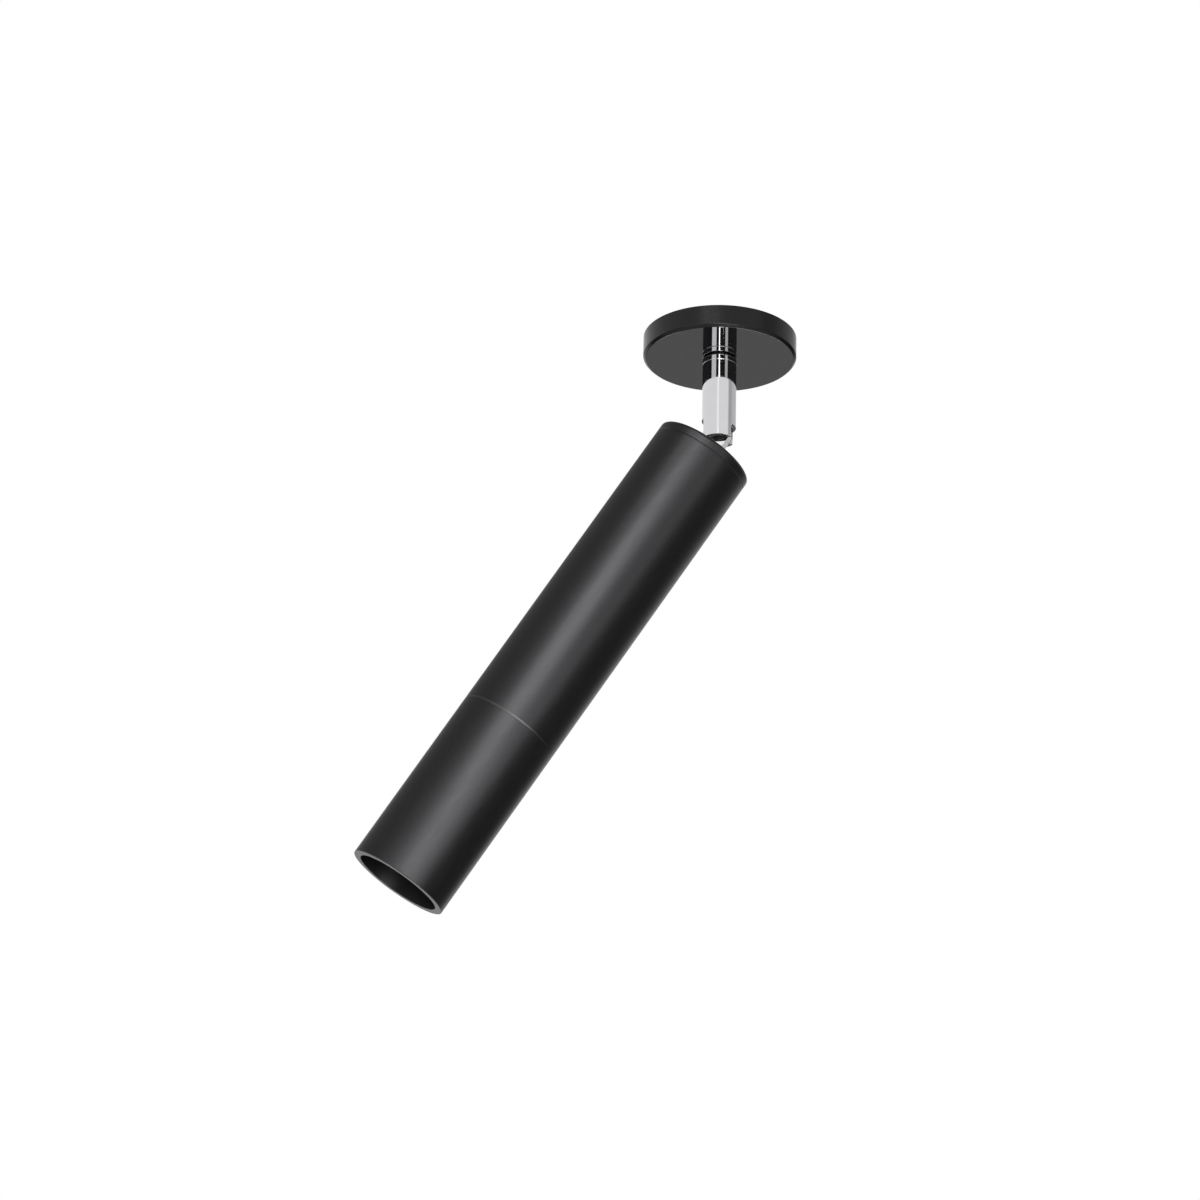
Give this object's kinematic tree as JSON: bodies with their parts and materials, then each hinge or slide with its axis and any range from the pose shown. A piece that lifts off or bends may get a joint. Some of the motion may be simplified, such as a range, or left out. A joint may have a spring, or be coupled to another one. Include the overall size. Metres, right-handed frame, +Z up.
{
  "type": "ceiling tube spotlight",
  "caption": "Ceiling spotlight: a round ceiling cup, a polished swivel stem with a hinge, and a long black tube with a reflector lamp deep inside its open mouth.",
  "frame": {"origin": "middle of the ceiling face, half way between the two ceiling screws, on the swivel axis", "axes": "+Z up into the ceiling along the swivel axis, -X the side that the tube tilts to, +Y along the tilt hinge"},
  "size_m": [0.248, 0.09, 0.3517],
  "materials": {
    "satin_black": "satin black anodised",
    "gloss_black": "gloss black lacquer",
    "chrome": "polished",
    "zinc_steel": "zinc plated",
    "brass": "plain",
    "black_nylon": "matte",
    "white_nylon": "matte",
    "black_rubber": "matte",
    "ceramic": "satin",
    "lamp_white": "satin",
    "lens_glass": "clear",
    "lead_brown": "smooth",
    "lead_blue": "smooth",
    "lead_green": "smooth"
  },
  "bodies": {
    "ceiling_base": {"mounting_strap": "zinc_steel", "strap_nut": "zinc_steel", "strap_earth_screw": "brass", "threaded_nipple": "zinc_steel", "canopy_cover": "gloss_black", "canopy_collar": "satin_black", "friction_washer": "black_nylon", "thrust_washer": "white_nylon", "circlip": "zinc_steel", "pan_stop_pin": "zinc_steel", "terminal_block": "white_nylon", "terminal_screws": "zinc_steel", "block_screw": "zinc_steel", "canopy_live_lead": "lead_brown", "canopy_neutral_lead": "lead_blue", "canopy_earth_lead": "lead_green"},
    "stem": {"swivel_ring": "chrome", "stem_body": "chrome", "pivot_screw": "zinc_steel", "pivot_washers": "black_nylon", "stem_live_lead": "lead_brown", "stem_neutral_lead": "lead_blue", "stem_earth_lead": "lead_green"},
    "head": {"knuckle_tongue": "satin_black", "end_cap": "satin_black", "cap_washer": "zinc_steel", "cap_nut": "zinc_steel", "head_earth_screw": "brass", "earth_tag": "zinc_steel", "upper_tube": "satin_black", "tube_coupler": "satin_black", "coupler_o_ring": "black_rubber", "holder_plate": "zinc_steel", "plate_screws": "zinc_steel", "lampholder": "ceramic", "lampholder_screws": "zinc_steel", "lampholder_contacts": "brass", "lamp_body": "lamp_white", "lamp_lens": "lens_glass", "lamp_pins": "zinc_steel", "head_live_lead": "lead_brown", "head_neutral_lead": "lead_blue", "head_earth_lead": "lead_green"},
    "front_tube": {"lower_tube": "satin_black"}
  },
  "joints": [
    {"name": "stem_swivel", "type": "hinge", "parent": "ceiling_base", "child": "stem", "pos_m": [0, 0, -0.0145], "axis": [0, 0, 1], "range_deg": [-160, 160]},
    {"name": "tube_tilt", "type": "hinge", "parent": "stem", "child": "head", "pos_m": [0, 0, -0.0615], "axis": [0, 1, 0], "range_deg": [-33, 57]},
    {"name": "lower_tube_pull", "type": "slide", "parent": "head", "child": "front_tube", "axis": [-0.5446, 0, -0.8387], "range_m": [0, 0.06]}
  ]
}
